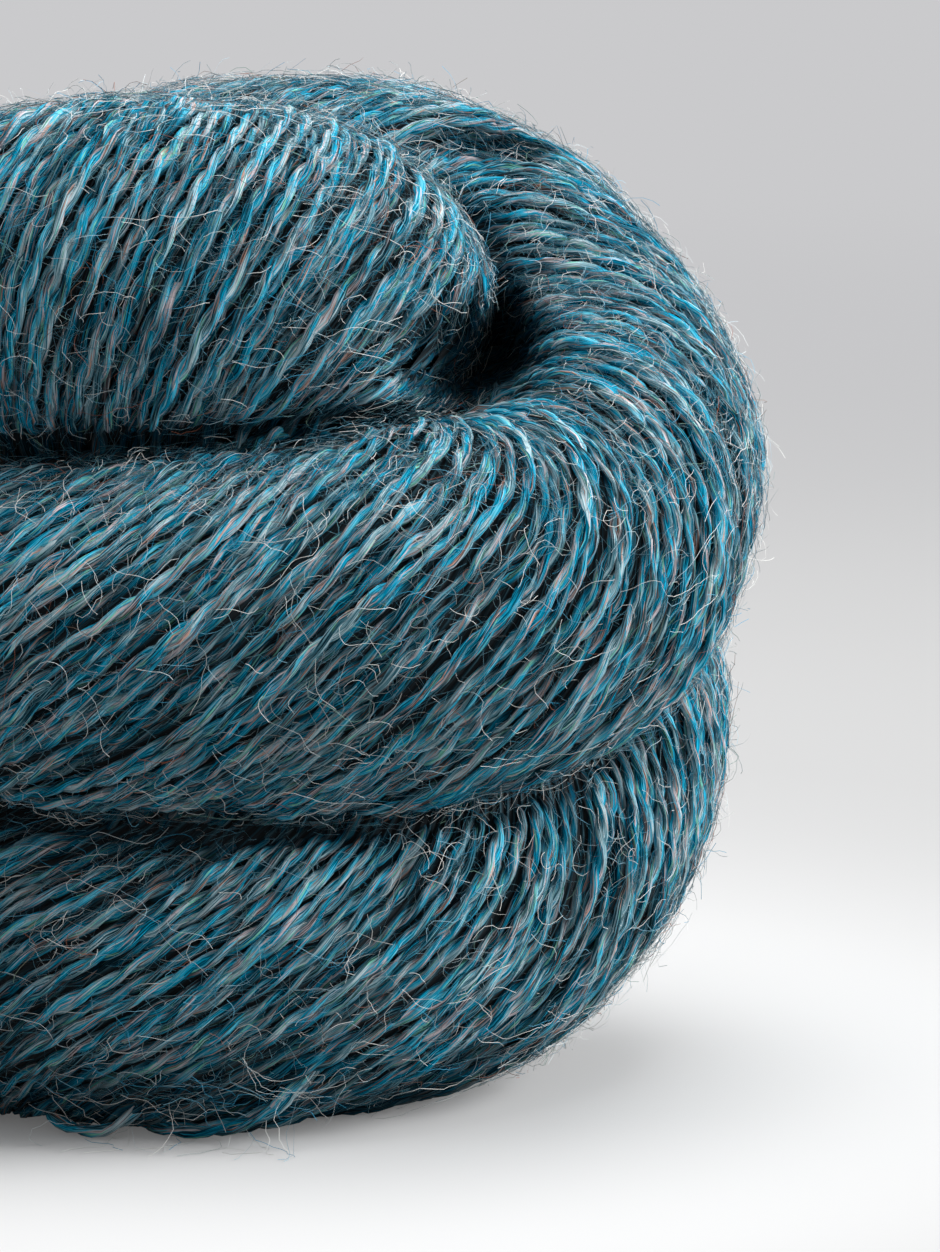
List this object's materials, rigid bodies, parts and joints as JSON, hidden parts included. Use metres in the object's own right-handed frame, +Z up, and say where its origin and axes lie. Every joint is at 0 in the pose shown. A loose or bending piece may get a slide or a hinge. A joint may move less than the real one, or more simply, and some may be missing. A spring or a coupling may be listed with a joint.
{
  "type": "twisted hank of yarn",
  "caption": "Twisted hank of soft heathered wool yarn: one endless bundle plied on itself, with its end tucked through its own loop, lying on its side.",
  "frame": {"origin": "on the surface that the hank lies on, under the middle of its box", "axes": "+X along the hank to its tucked end, +Y to the back, +Z up"},
  "size_m": [0.214, 0.067, 0.0809],
  "materials": {
    "yarn": "soft, hairy heathered wool, matt, blue-grey with turquoise and grey fibres"
  },
  "bodies": {
    "root": {"hank": "yarn"}
  },
  "joints": []
}
